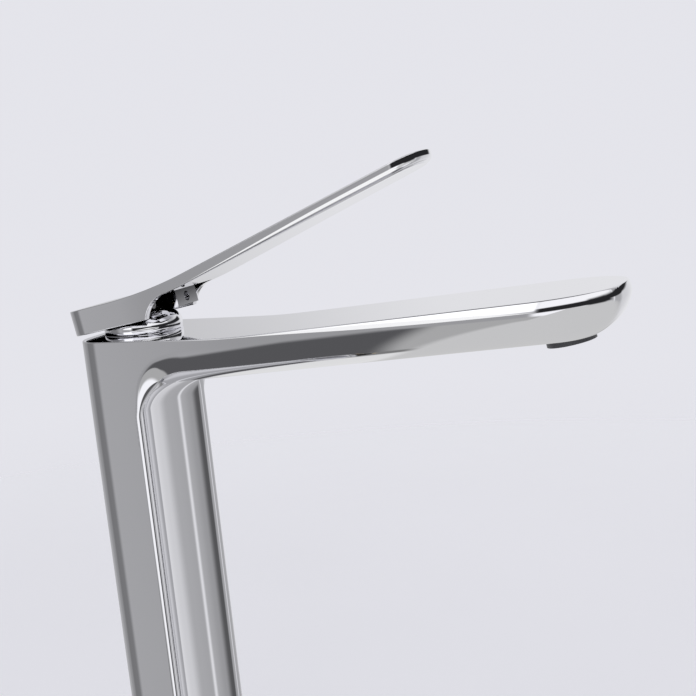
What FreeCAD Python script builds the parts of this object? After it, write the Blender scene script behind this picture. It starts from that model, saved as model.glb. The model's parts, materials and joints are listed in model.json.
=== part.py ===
import FreeCAD, Part
import math
import os
import re
import Sketcher

# Tall single-lever basin faucet. Millimetres, deck surface at Z = 0, +Z up, +X along the spout.
# The origin is the axis of the mounting shank. The lever is drawn raised, with the water on.

SIZES = {
    # casting: column
    "column_height": 250.0,
    "column_back": 14.5,
    "column_front": 14.6,
    "half_width": 27.0,
    "back_corner_r": 12.9,
    "lip_r": 2.0,
    "inner_corner_r": 12.0,
    "trough_r": 40.0,
    "trough_depth": 8.0,
    "trough_top_r": 12.0,
    # casting: spout
    "spout_tip": 208.7,
    "spout_bend": 56.0,
    "spout_rise_deg": 4.37,
    "spout_thick": 17.3,
    "tip_half_width": 28.7,
    "tip_corner_r": 20.0,
    "tip_front_r": 62.0,
    "hull_r": 15.0,
    "top_edge_r": 1.0,
    "tip_edge_r": 2.2,
    # waterways
    "inlet_side": 5.5,
    "inlet_r": 4.5,
    "inlet_depth": 14.0,
    "channel_r": 2.6,
    "outlet_channel_r": 4.0,
    "outlet_drop": 9.0,
    # foot and deck fixing
    "gasket_thick": 1.5,
    "gasket_inset": 2.5,
    "plate_thick": 9.0,
    "plate_over_x": 7.0,
    "plate_over_y": 15.0,
    "plate_corner_r": 17.0,
    "plate_edge_r": 2.5,
    "passage_front": 3.0,
    "foot_screw_out": 5.5,
    "foot_screw_r": 2.5,
    "foot_screw_head_r": 4.2,
    "foot_screw_head": 2.6,
    "foot_screw_bite": 11.0,
    "shank_r": 16.0,
    "shank_wall": 3.8,
    "shank_length": 52.0,
    "shank_seat": 4.5,
    "shank_relief": 1.5,
    "deck_thick": 20.0,
    "washer_over": 9.0,
    "rubber_thick": 3.0,
    "steel_thick": 1.5,
    "nut_over": 9.0,
    "nut_height": 9.0,
    # mixing cartridge
    "axis_x": 4.5,
    "cartridge_r": 13.2,
    "bore_depth": 15.0,
    "base_thick": 3.0,
    "port_back": 7.2,
    "outlet_ahead": 7.0,
    "outlet_r": 3.0,
    "seal_wall": 1.2,
    "seal_thick": 1.0,
    "disc_thick": 2.4,
    "fixed_disc_r": 10.4,
    "moving_disc_r": 8.2,
    "carrier_thick": 4.2,
    "pocket_depth": 3.4,
    "housing_bore_r": 10.7,
    "neck_r": 12.0,
    "neck_drop": 5.0,
    "neck_rise": 5.0,
    "rotor_r": 9.1,
    "rotor_flange_r": 10.4,
    "rotor_flange_top": 1.2,
    "rotor_rise": 6.5,
    "rotor_slot_half": 5.3,
    "pivot_rise": 1.5,
    "pin_r": 1.25,
    "pin_half": 8.6,
    "stem_half": 3.4,
    "stem_top": 10.3,
    "stem_bottom": 3.6,
    "foot_arm": 5.9,
    "foot_r": 1.9,
    "foot_neck_r": 1.4,
    # retaining nut and bonnet
    "ring_nut_r": 15.45,
    "ring_nut_rim_r": 14.2,
    "ring_nut_rise": 3.0,
    "ring_groove_r": 12.85,
    "ring_groove_low": 0.8,
    "ring_groove_high": 2.4,
    "oring_r": 0.65,
    "bonnet_r": 16.5,
    "bonnet_height": 8.5,
    "bonnet_shoulder_r": 6.4,
    "bonnet_hole_r": 9.8,
    "bonnet_lip": 1.6,
    "bonnet_inner_shoulder": 11.9,
    # lever handle, in its own frame: origin on the pivot, U forward, W up
    "lever_raise_deg": 9.8,
    "cap_back": 24.0,
    "cap_half_width": 21.0,
    "cap_corner_r": 10.0,
    "cap_bottom": 3.4,
    "cap_top": 14.0,
    "cap_wall": 3.0,
    "cap_roof": 2.6,
    "wall_front": 15.6,
    "wall_front_mid_u": 18.7,
    "wall_front_mid_w": 8.0,
    "wall_front_top": 27.0,
    "lever_thick": 4.3,
    "lever_bend_back": 2.1,
    "lever_bend_r": 200.0,
    "lever_slope_deg": 11.7,
    "lever_tip": 141.3,
    "lever_tip_half": 14.8,
    "lever_corner_r": 9.0,
    "lever_front_r": 40.0,
    "cap_edge_r": 1.2,
    # stem socket under the lever
    "socket_r": 7.4,
    "socket_bottom": 6.7,
    "socket_half_width": 8.0,
    "socket_bridge_bottom": 9.7,
    "socket_block_back": 17.5,
    "socket_block_front": 24.5,
    "socket_block_bottom": 5.0,
    "grub_r": 2.0,
    "grub_height": 8.4,
    "grub_length": 4.0,
    "grub_key_r": 1.0,
    "grub_key_depth": 2.0,
    # aerator
    "aerator_back": 22.4,
    "aerator_tilt_deg": 9.6,
    "aerator_r": 9.3,
    "aerator_bore_r": 7.4,
    "aerator_show": 2.6,
    "aerator_depth": 8.0,
    "aerator_lip_r": 6.6,
    "aerator_lip": 1.0,
    "insert_thick": 5.0,
    "screen_thick": 1.0,
    "aerator_seal_thick": 1.6,
    "jet_r": 0.9,
    "jet_pitch": 2.6,
    # clearances and the overrun of cuts
    "fit_gap": 0.05,
    "free_gap": 0.1,
    "loose_gap": 0.3,
    "overrun": 1.0,
}

doc = FreeCAD.newDocument("basin_faucet")
sheet = doc.addObject("Spreadsheet::Sheet", "sizes")
for row, (alias, value) in enumerate(SIZES.items(), start=1):
    sheet.set(f"A{row}", alias)
    sheet.set(f"B{row}", str(value))
    sheet.setAlias(f"B{row}", alias)
doc.recompute()

SUBPARTS = []
SCREW_Y = "(shank_r + foot_screw_out)"
SHANK_BORE = "(shank_r - shank_wall)"
VECTOR = FreeCAD.Vector
UP = VECTOR(0, 0, 1)
ACROSS = VECTOR(0, 1, 0)
ALONG = VECTOR(1, 0, 0)


def size(alias):
    """The value of one cell of the sheet."""
    return float(sheet.get(alias))


def bound(text):
    """An expression with the sheet's name put before each alias in it."""
    return re.sub(r"[a-z_]\w*", lambda m: f"sizes.{m.group(0)}" if m.group(0) in SIZES else m.group(0), text)


def bind(target, **expressions):
    """Tie properties of an object to expressions; Placement parts are written with double underscores."""
    for name, text in expressions.items():
        target.setExpression(name.replace("__", "."), bound(text))


def place(target, x="0", y="0", z="0"):
    """Tie an object's position to three expressions."""
    bind(target, Placement__Base__x=x, Placement__Base__y=y, Placement__Base__z=z)
    return target


def put(target, placement):
    """Set an object's whole placement, freeing its position from any expression."""
    for axis in "xyz":
        target.setExpression(f"Placement.Base.{axis}", None)
    target.Placement = placement
    return target


def cylinder(name, radius, height, x="0", y="0", z="0"):
    """An upright cylinder standing on height z."""
    solid = doc.addObject("Part::Cylinder", name)
    bind(solid, Radius=radius, Height=height)
    return place(solid, x, y, z)


def box(name, low, high):
    """A box between two corners, each three expressions."""
    solid = doc.addObject("Part::Box", name)
    spans = [f"({b}) - ({a})" for a, b in zip(low, high)]
    bind(solid, Length=spans[0], Width=spans[1], Height=spans[2])
    return place(solid, *low)


def fuse(name, *solids):
    joined = doc.addObject("Part::MultiFuse", name)
    joined.Shapes = list(solids)
    return joined


def cut(name, base, *tools):
    """The base less the tools."""
    result = doc.addObject("Part::Cut", name)
    result.Base = base
    result.Tool = tools[0] if len(tools) == 1 else fuse(f"{name}_tools", *tools)
    return result


def feature(name, shape):
    """A solid set from Part's own functions."""
    solid = doc.addObject("Part::Feature", name)
    solid.Shape = shape
    return solid


def keep(solid, label):
    """Mark an object as a sub-part, written under this label."""
    solid.Label = label
    SUBPARTS.append(solid)
    return solid


def body_outline(label, role, points):
    """A body with one closed sketch whose corners are pairs of expressions."""
    body = doc.addObject("PartDesign::Body", f"{label}_body")
    sketch = body.newObject("Sketcher::SketchObject", f"{label}_outline")
    plane = next(f for f in body.Origin.OriginFeatures if f.Role == role)
    sketch.AttachmentSupport = [(plane, "")]
    sketch.MapMode = "FlatFace"
    values = [tuple(float(sheet.evalExpression(bound(t))) for t in pair) for pair in points]
    corners = [VECTOR(x, y, 0) for x, y in values]
    for start, end in zip(corners, corners[1:] + corners[:1]):
        sketch.addGeometry(Part.LineSegment(start, end))
    count = len(corners)
    for i in range(count):
        sketch.addConstraint(Sketcher.Constraint("Coincident", i, 2, (i + 1) % count, 1))
    for i, pair in enumerate(points):
        for kind, text, value in zip(("DistanceX", "DistanceY"), pair, values[i]):
            number = sketch.addConstraint(Sketcher.Constraint(kind, -1, 1, i, 1, value))
            sketch.setExpression(f"Constraints[{number}]", bound(text))
    return body, sketch


def turned(label, points, x="axis_x", z="column_height"):
    """A turned piece: the outline of radius and height pairs, spun about its own upright axis."""
    body, sketch = body_outline(label, "XZ_Plane", points)
    spin = body.newObject("PartDesign::Revolution", f"{label}_spin")
    spin.Profile = sketch
    spin.ReferenceAxis = (sketch, ["V_Axis"])
    spin.Angle = 360
    sketch.Visibility = False
    return place(body, x, "0", z)


def arc_about(centre, radius, start, end):
    """An arc in the XY plane between two angles in radians."""
    points = [centre + VECTOR(math.cos(a), math.sin(a), 0) * radius for a in (start, (start + end) / 2, end)]
    return Part.Arc(*points)


def face_of(curves):
    return Part.Face(Part.Wire(Part.__sortEdges__([c.toShape() for c in curves])))


def mirrored(point):
    return VECTOR(point.x, -point.y, point.z)


def blunt_nose(start, start_r, half, tip, corner_r, front_r):
    """A side line and a blunt tip, near side then far side, for an outline that is the same on both sides.

    The line leaves a circle about the start, touches a rounded corner, and a shallow arc closes the front.
    Returns the curves and the angle by which the side line opens.
    """
    nose = VECTOR(tip - front_r, 0, 0)
    aside = half - corner_r
    corner = nose + VECTOR(math.sqrt((front_r - corner_r) ** 2 - aside ** 2), aside, 0)
    sweep = math.atan2(aside, corner.x - nose.x)
    between = corner - start
    flare = math.atan2(between.y, between.x) + math.asin((corner_r - start_r) / between.Length)
    normal = VECTOR(-math.sin(flare), math.cos(flare), 0)
    line = (start + normal * start_r, corner + normal * corner_r)
    quarter = math.pi / 2
    curves = [
        Part.LineSegment(*map(mirrored, line)),
        arc_about(mirrored(corner), corner_r, -quarter - flare, -sweep),
        arc_about(nose, front_r, -sweep, sweep),
        arc_about(corner, corner_r, sweep, quarter + flare),
        Part.LineSegment(*reversed(line)),
    ]
    return curves, flare


# The casting: a side profile cut to the plan outline, its edges rounded, then the hollow front and the bores.
def spout_top(x):
    rise = math.tan(math.radians(size("spout_rise_deg")))
    return size("column_height") + max(0.0, x - size("spout_bend")) * rise


def spout_under(x):
    rise = math.tan(math.radians(size("spout_rise_deg")))
    return size("column_height") - size("spout_thick") + (x - size("spout_bend")) * rise


def foot_height():
    return size("gasket_thick") + size("plate_thick")


def side_slab():
    """The L of column and spout, seen from the side, with its inner corner rounded."""
    back = -size("column_back")
    front = size("column_front")
    radius = size("inner_corner_r")
    rise = math.radians(size("spout_rise_deg"))
    far = size("spout_tip") + size("overrun")
    reach = radius * math.tan((math.pi / 2 + rise) / 2)
    corner = VECTOR(front, 0, spout_under(front))
    low = corner - UP * reach
    high = corner + VECTOR(math.cos(rise), 0, math.sin(rise)) * reach
    centre = low + ALONG * radius
    middle = centre + (corner - centre).normalize() * radius
    points = [high, VECTOR(far, 0, spout_under(far)), VECTOR(far, 0, spout_top(far)),
              VECTOR(size("spout_bend"), 0, size("column_height")), VECTOR(back, 0, size("column_height")),
              VECTOR(back, 0, foot_height()), VECTOR(front, 0, foot_height()), low]
    curves = [Part.LineSegment(a, b) for a, b in zip(points, points[1:])]
    face = face_of(curves + [Part.Arc(low, middle, high)])
    face.translate(-ACROSS * size("tip_half_width"))
    return face.extrude(ACROSS * size("tip_half_width") * 2)


def plan_prism():
    """The outline from above: rounded back corners, sides that flare a little, a blunt rounded tip."""
    radius = size("back_corner_r")
    rear = VECTOR(radius - size("column_back"), size("half_width") - radius, 0)
    fore, flare = blunt_nose(rear, radius, size("tip_half_width"), size("spout_tip"), size("tip_corner_r"),
                             size("tip_front_r"))
    quarter = math.pi / 2
    back_end = rear - ALONG * radius
    curves = [
        arc_about(mirrored(rear), radius, math.pi, 3 * quarter - flare),
        *fore,
        arc_about(rear, radius, quarter + flare, math.pi),
        Part.LineSegment(back_end, mirrored(back_end)),
    ]
    return face_of(curves).extrude(UP * (spout_top(size("spout_tip")) + size("overrun")))


def top_round(x):
    """Radius of the top's edge: crisp round the column, growing along the spout to its tip."""
    start = size("column_front")
    share = (x - start) / (size("spout_tip") - size("tip_corner_r") - start)
    return size("top_edge_r") + (size("tip_edge_r") - size("top_edge_r")) * min(max(share, 0.0), 1.0)


def rounded_edges(shape):
    """Edge numbers with radii: lips, inner corners that grow into the hull, hull edge and top edge."""
    near = size("fit_gap") * 10
    lip, hull = size("lip_r"), size("hull_r")
    chosen = []
    for number, edge in enumerate(shape.Edges, start=1):
        start, end = (edge.valueAt(p) for p in (edge.FirstParameter, edge.LastParameter))
        middle = edge.valueAt((edge.FirstParameter + edge.LastParameter) / 2)
        across = abs(start.y + end.y) < near and abs(middle.y) < near and middle.x < size("spout_tip") - near
        upright = abs(start.x - end.x) < near and abs(start.y - end.y) < near
        if across and middle.x > near - size("column_back"):
            continue
        if upright:
            if abs(middle.x - size("column_front")) < near:
                chosen.append((number, lip, lip))
        elif all(abs(p.z - spout_top(p.x)) < near for p in (start, middle, end)):
            chosen.append((number, top_round(start.x), top_round(end.x)))
        elif all(abs(p.z - spout_under(p.x)) < near for p in (start, middle, end)):
            chosen.append((number, hull, hull))
        elif middle.z > foot_height() + near:
            chosen.append((number, lip, hull) if start.z < end.z else (number, hull, lip))
    return chosen


def trough_cutter():
    """An upright round bar with a rounded head, which hollows the column's front up to the spout's root."""
    radius = size("trough_r")
    centre_x = size("column_front") - size("trough_depth") + radius
    head = spout_under(size("column_front") - size("trough_depth") + size("trough_top_r"))
    foot = foot_height() - size("overrun")
    bar = Part.makeCylinder(radius, head - foot, VECTOR(centre_x, 0, foot))
    rim = [e for e in bar.Edges if e.BoundBox.ZMin > head - size("overrun")]
    return bar.makeFillet(size("trough_top_r"), rim)


def aerator_placement():
    """On the spout's underside, leaning so that the stream runs a little forward; its Z points up."""
    x = size("spout_tip") - size("aerator_back")
    lean = FreeCAD.Rotation(ACROSS, -size("aerator_tilt_deg"))
    return FreeCAD.Placement(VECTOR(x, 0, spout_under(x)), lean)


def outlet_channel():
    """The waterway from the cartridge bore to the top of the aerator's seat."""
    start = VECTOR(size("axis_x"), 0, size("column_height") - size("outlet_drop"))
    end = aerator_placement().multVec(UP * size("aerator_depth"))
    return Part.makeCylinder(size("outlet_channel_r"), (end - start).Length, start, end - start)


def casting():
    block = feature("casting_block", side_slab().common(plan_prism()).removeSplitter())
    doc.recompute()
    rounded = doc.addObject("Part::Fillet", "casting_rounded")
    rounded.Base = block
    rounded.Edges = rounded_edges(block.Shape)
    trough = feature("trough", trough_cutter())
    channel = feature("outlet_channel", outlet_channel())
    bore = cylinder("cartridge_bore", "cartridge_r + free_gap", "bore_depth + overrun", "axis_x", "0",
                    "column_height - bore_depth")
    thread = cylinder("ring_nut_bore", "ring_nut_r + fit_gap", "neck_drop + overrun", "axis_x", "0",
                      "column_height - neck_drop")
    seat = cylinder("aerator_seat", "aerator_r + fit_gap", "aerator_depth + aerator_seal_thick + hull_r")
    doc.recompute()
    lean = aerator_placement()
    put(seat, lean.multiply(FreeCAD.Placement(-UP * size("hull_r"), FreeCAD.Rotation())))
    foot = "gasket_thick + plate_thick"
    tools = [trough, channel, bore, thread, seat]
    for sign, side in (("-", "cold"), ("", "hot")):
        y = f"{sign}inlet_side"
        tools.append(cylinder(f"{side}_inlet", "inlet_r", "inlet_depth + overrun", "axis_x - port_back", y,
                              f"{foot} - overrun"))
        rise = f"column_height - bore_depth - {foot} + overrun"
        tools.append(cylinder(f"{side}_channel", "channel_r", rise, "axis_x - port_back", y, foot))
        tools.append(cylinder(f"{side}_screw_hole", "foot_screw_r", "foot_screw_bite + overrun", "0",
                              f"{sign}{SCREW_Y}", f"{foot} - overrun"))
    keep(cut("casting", rounded, *tools), "spout_body")


# The foot: plate, screws, gasket, shank and the clamp under the deck.
def rounded_plate(inset, corner_inset, height):
    half_x = size("shank_r") + size("plate_over_x") - inset
    half_y = size("shank_r") + size("plate_over_y") - inset
    plate = Part.makeBox(half_x * 2, half_y * 2, height, VECTOR(-half_x, -half_y, 0))
    uprights = [e for e in plate.Edges if abs(e.BoundBox.ZLength - height) < size("fit_gap")]
    return plate.makeFillet(size("plate_corner_r") - corner_inset, uprights)


def foot():
    blank = rounded_plate(0, 0, size("plate_thick"))
    rim = [e for e in blank.Edges if e.BoundBox.ZMin > size("plate_thick") - size("fit_gap")]
    plate = feature("plate_blank", blank.makeFillet(size("plate_edge_r"), rim))
    plate.Placement.Base = UP * size("gasket_thick")
    low = "gasket_thick"
    passage = doc.addObject("Part::Common", "plate_passage")
    passage.Base = cylinder("passage_round", SHANK_BORE, "plate_thick + overrun", z=low)
    passage.Tool = box("passage_span", (f"-{SHANK_BORE}", f"-{SHANK_BORE}", low),
                       ("passage_front", SHANK_BORE, f"{low} + plate_thick + overrun"))
    socket = cylinder("shank_socket", "shank_r + fit_gap", "shank_seat + shank_relief + overrun",
                      z=f"{low} - overrun")
    holes = []
    screws = []
    for sign, side in (("-", "near"), ("", "far")):
        y = f"{sign}{SCREW_Y}"
        holes.append(cylinder(f"{side}_hole", "foot_screw_r + free_gap", "plate_thick + overrun", y=y, z=low))
        holes.append(cylinder(f"{side}_sink", "foot_screw_head_r + free_gap", "foot_screw_head + overrun",
                              y=y, z=f"{low} - overrun"))
        shaft = cylinder(f"{side}_shaft", "foot_screw_r", "plate_thick - foot_screw_head + foot_screw_bite",
                         y=y, z=f"{low} + foot_screw_head")
        head = cylinder(f"{side}_head", "foot_screw_head_r", "foot_screw_head", "0", y, low)
        drive = doc.addObject("Part::Prism", f"{side}_drive")
        bind(drive, Circumradius="foot_screw_r", Height="foot_screw_head / 2 + overrun")
        place(drive, "0", y, f"{low} - overrun")
        screws.append(cut(f"{side}_screw", fuse(f"{side}_screw_blank", shaft, head), drive))
    keep(cut("plate", plate, passage, socket, *holes), "base_plate")
    group = doc.addObject("Part::Compound", "screw_pair")
    group.Links = screws
    keep(group, "foot_screws")
    inset = size("gasket_inset")
    ring = feature("gasket_blank", rounded_plate(inset, inset, size("gasket_thick")))
    through = "gasket_thick + overrun * 2"
    opening = cylinder("gasket_opening", "shank_r + loose_gap", through, z="-overrun")
    sinks = [cylinder(f"{side}_gasket_hole", "foot_screw_head_r + loose_gap", through, y=f"{sign}{SCREW_Y}",
                      z="-overrun") for sign, side in (("-", "near"), ("", "far"))]
    keep(cut("gasket", ring, opening, *sinks), "base_gasket")
    keep(turned("shank", [
        (SHANK_BORE, "-shank_length"), ("shank_r - overrun", "-shank_length"),
        ("shank_r", "overrun - shank_length"), ("shank_r", "gasket_thick + shank_seat"),
        (SHANK_BORE, "gasket_thick + shank_seat")], "0", "0"), "mounting_shank")
    inner = "shank_r + loose_gap"
    outer = "shank_r + washer_over"
    for label, thick, drop in (("rubber_washer", "rubber_thick", "deck_thick + rubber_thick"),
                               ("steel_washer", "steel_thick", "deck_thick + rubber_thick + steel_thick")):
        ring = [(inner, "0"), (outer, "0"), (outer, thick), (inner, thick)]
        keep(turned(label, ring, "0", f"-({drop})"), label)
    level = "-(deck_thick + rubber_thick + steel_thick + nut_height)"
    hexagon = doc.addObject("Part::Prism", "nut_hexagon")
    bind(hexagon, Circumradius="shank_r + nut_over", Height="nut_height")
    place(hexagon, z=level)
    thread = cylinder("nut_thread", "shank_r + fit_gap", "nut_height + overrun * 2", z=f"{level} - overrun")
    keep(cut("back_nut", hexagon, thread), "clamp_nut")


# The cartridge. Heights count from the column's top face; the stack stands on the floor of the bore.
FLOOR = "-bore_depth"
BASE_TOP = f"({FLOOR} + base_thick)"
FIXED_TOP = f"({BASE_TOP} + disc_thick)"
MOVING_TOP = f"({FIXED_TOP} + disc_thick)"
CARRIER_TOP = f"({MOVING_TOP} + carrier_thick)"


def ports():
    """Places of the two inlets and the outlet: name, distance ahead of the axis, distance aside, radius."""
    return (("cold", "-port_back", "-inlet_side", "channel_r"),
            ("hot", "-port_back", "inlet_side", "channel_r"),
            ("mixed", "outlet_ahead", "0", "outlet_r"))


def port_cutters(piece, low, height, wider="0"):
    level = f"column_height + {low}"
    return [cylinder(f"{piece}_{name}", f"{radius} + {wider}", height, f"axis_x + {x}", y, level)
            for name, x, y, radius in ports()]


def cartridge_stack():
    top = "column_height + "
    disc = cylinder("base_disc", "cartridge_r", "base_thick", "axis_x", "0", top + FLOOR)
    holes = port_cutters("base_port", f"{FLOOR} - overrun", "base_thick + overrun * 2")
    grooves = port_cutters("seal_groove", f"{FLOOR} - overrun", "seal_thick + overrun", "seal_wall")
    keep(cut("ported_base", disc, *holes, *grooves), "cartridge_base")
    rings = []
    for name, x, y, radius in ports():
        ahead = f"axis_x + {x}"
        outer = cylinder(f"{name}_ring", f"{radius} + seal_wall", "seal_thick", ahead, y, top + FLOOR)
        inner = cylinder(f"{name}_ring_hole", radius, "seal_thick + overrun * 2", ahead, y,
                         f"{top}{FLOOR} - overrun")
        rings.append(cut(f"{name}_seal", outer, inner))
    group = doc.addObject("Part::Compound", "seal_rings")
    group.Links = rings
    keep(group, "port_seals")
    plate = cylinder("fixed_plate", "fixed_disc_r", "disc_thick", "axis_x", "0", top + BASE_TOP)
    holes = port_cutters("disc_port", f"{BASE_TOP} - overrun", "disc_thick + overrun * 2")
    keep(cut("ported_plate", plate, *holes), "fixed_disc")
    keep(turned("housing", [
        ("housing_bore_r", BASE_TOP), ("cartridge_r", BASE_TOP), ("cartridge_r", "-neck_drop"),
        ("neck_r", "-neck_drop"), ("neck_r", "neck_rise"), ("rotor_r + fit_gap", "neck_rise"),
        ("rotor_r + fit_gap", "free_gap - rotor_flange_top"),
        ("housing_bore_r", "free_gap - rotor_flange_top")]), "cartridge_housing")
    keep(turned("ring_nut", [
        ("neck_r + free_gap", "-neck_drop"), ("ring_nut_r", "-neck_drop"), ("ring_nut_r", "0"),
        ("ring_nut_rim_r", "0"), ("ring_nut_rim_r", "ring_groove_low"), ("ring_groove_r", "ring_groove_low"),
        ("ring_groove_r", "ring_groove_high"), ("ring_nut_rim_r", "ring_groove_high"),
        ("ring_nut_rim_r", "ring_nut_rise"), ("neck_r + free_gap", "ring_nut_rise")]), "cartridge_nut")
    oring = doc.addObject("Part::Torus", "bonnet_ring")
    bind(oring, Radius1="ring_groove_r + oring_r + fit_gap", Radius2="oring_r")
    place(oring, "axis_x", "0", "column_height + (ring_groove_low + ring_groove_high) / 2")
    keep(oring, "bonnet_oring")


def bonnet():
    """A domed collar: square outside corner rounded over, hollow under, with a round hole for the stem."""
    inner = "ring_nut_rim_r + free_gap"
    body = turned("bonnet", [
        (inner, "0"), ("bonnet_r", "0"), ("bonnet_r", "bonnet_height"), ("bonnet_hole_r", "bonnet_height"),
        ("bonnet_hole_r", "bonnet_height - bonnet_lip"),
        ("bonnet_inner_shoulder", "bonnet_height - bonnet_lip - free_gap"),
        (inner, "ring_nut_rise + free_gap")])
    doc.recompute()
    spin = body.Tip
    near = size("fit_gap")
    rim = [f"Edge{n}" for n, e in enumerate(spin.Shape.Edges, start=1)
           if e.BoundBox.ZLength < near and e.BoundBox.XLength > size("bonnet_r") * 2 - near
           and e.BoundBox.ZMin > size("bonnet_height") / 2]
    shoulder = body.newObject("PartDesign::Fillet", "bonnet_shoulder")
    shoulder.Base = (spin, rim)
    bind(shoulder, Radius="bonnet_shoulder_r")
    keep(body, "dome_bonnet")


# What turns with the lever: the rotor with its pin, and the disc that the lever slides.
def rotor():
    blank = turned("rotor_blank", [
        ("0", f"{CARRIER_TOP} + loose_gap"), ("rotor_flange_r", f"{CARRIER_TOP} + loose_gap"),
        ("rotor_flange_r", "-rotor_flange_top"), ("rotor_r", "-rotor_flange_top"), ("rotor_r", "rotor_rise"),
        ("0", "rotor_rise")])
    slot = box("rotor_slot",
               ("axis_x - rotor_slot_half", "-stem_half - free_gap", "column_height - bore_depth"),
               ("axis_x + rotor_slot_half", "stem_half + free_gap", "column_height + rotor_rise + overrun"))
    hole = cylinder("pin_hole", "pin_r", "pin_half * 2")
    pin = cylinder("pin", "pin_r", "pin_half * 2")
    doc.recompute()
    for solid in (hole, pin):
        put(solid, FreeCAD.Placement(
            VECTOR(size("axis_x"), -size("pin_half"), size("column_height") + size("pivot_rise")),
            FreeCAD.Rotation(UP, ACROSS)))
    keep(cut("slotted_rotor", blank, slot, hole), "rotor")
    keep(pin, "pivot_pin")


def sliding_disc():
    """The moving disc and its carrier, ahead of the axis by the swing of the raised stem's foot."""
    ahead = "axis_x + foot_arm * sin(lever_raise_deg * 1deg)"
    keep(cylinder("sliding_plate", "moving_disc_r", "disc_thick", ahead, "0", f"column_height + {FIXED_TOP}"),
         "moving_disc")
    puck = cylinder("carrier_puck", "moving_disc_r", "carrier_thick", ahead, "0",
                    f"column_height + {MOVING_TOP}")
    half = "foot_r + free_gap"
    rim = f"column_height + {CARRIER_TOP}"
    pocket = box("carrier_pocket", (f"{ahead} - ({half})", f"-({half})", f"{rim} - pocket_depth"),
                 (f"{ahead} + ({half})", half, f"{rim} + overrun"))
    keep(cut("pocketed_carrier", puck, pocket), "disc_carrier")


# The lever. Each piece is drawn about the pivot in the lever's own frame and then raised.
def raised(solid):
    """Move a piece from the lever's own frame to its raised place on the pivot."""
    pivot = VECTOR(size("axis_x"), 0, size("column_height") + size("pivot_rise"))
    lift = FreeCAD.Placement(pivot, FreeCAD.Rotation(ACROSS, -size("lever_raise_deg")))
    solid.Placement = lift.multiply(solid.Placement)
    return solid


def lever_line(u, depth):
    """Height of the lever's top line at U less a depth: level, then an arc, then straight."""
    start, radius = -size("lever_bend_back"), size("lever_bend_r") + depth
    slope = math.radians(size("lever_slope_deg"))
    base = size("cap_top") - depth
    run = radius * math.sin(slope)
    if u <= start:
        return base
    if u <= start + run:
        return base + radius - math.sqrt(radius ** 2 - (u - start) ** 2)
    return base + radius * (1 - math.cos(slope)) + (u - start - run) * math.tan(slope)


def lever_curves(u_low, u_high, depth):
    """The top line, or one at a depth below it, from one U to another as line, arc and line."""
    start = -size("lever_bend_back")
    run = (size("lever_bend_r") + depth) * math.sin(math.radians(size("lever_slope_deg")))
    at = lambda u: VECTOR(u, 0, lever_line(u, depth))
    low, high = max(u_low, start), min(u_high, start + run)
    curves = [Part.LineSegment(at(u_low), at(start))] if u_low < start else []
    curves.append(Part.Arc(at(low), at((low + high) / 2), at(high)))
    return curves + ([Part.LineSegment(at(high), at(u_high))] if u_high > high else [])


def ceiling(u):
    """Height of the cap's ceiling at U: under a thin roof, then a ramp down to the lever's underside."""
    ramp, end = size("socket_block_back"), size("wall_front_top") + size("overrun")
    if u <= ramp:
        return lever_line(u, size("cap_roof"))
    share = (u - ramp) / (end - ramp)
    return lever_line(ramp, size("cap_roof")) * (1 - share) + lever_line(end, size("lever_thick")) * share


def ceiling_curves(u_low, u_high):
    """The cap's ceiling from one U to another, past the start of its ramp."""
    ramp = size("socket_block_back")
    slope = Part.LineSegment(VECTOR(ramp, 0, ceiling(ramp)), VECTOR(u_high, 0, ceiling(u_high)))
    return lever_curves(u_low, ramp, size("cap_roof")) + [slope]


def across_slab(curves, half):
    """A closed side outline drawn out to both sides of the middle plane."""
    face = face_of(curves)
    face.translate(-ACROSS * half)
    return face.extrude(ACROSS * half * 2)


def handle_plan():
    """From above: a cap with rounded back corners, sides that taper forward and a blunt rounded tip."""
    half, back, radius = size("cap_half_width"), -size("cap_back"), size("cap_corner_r")
    tip = size("lever_tip")
    front = VECTOR(size("wall_front"), half, 0)
    rear = VECTOR(back + radius, half - radius, 0)
    rear_top = rear + ACROSS * radius
    back_end = rear - ALONG * radius
    quarter = math.pi / 2
    curves, _ = blunt_nose(front, 0, size("lever_tip_half"), tip, size("lever_corner_r"),
                           size("lever_front_r"))
    curves += [
        Part.LineSegment(front, rear_top),
        arc_about(rear, radius, quarter, math.pi),
        Part.LineSegment(back_end, mirrored(back_end)),
        arc_about(mirrored(rear), radius, math.pi, 3 * quarter),
        Part.LineSegment(mirrored(rear_top), mirrored(front)),
    ]
    return face_of(curves).extrude(UP * (lever_line(tip, 0) + size("overrun")))


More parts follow.
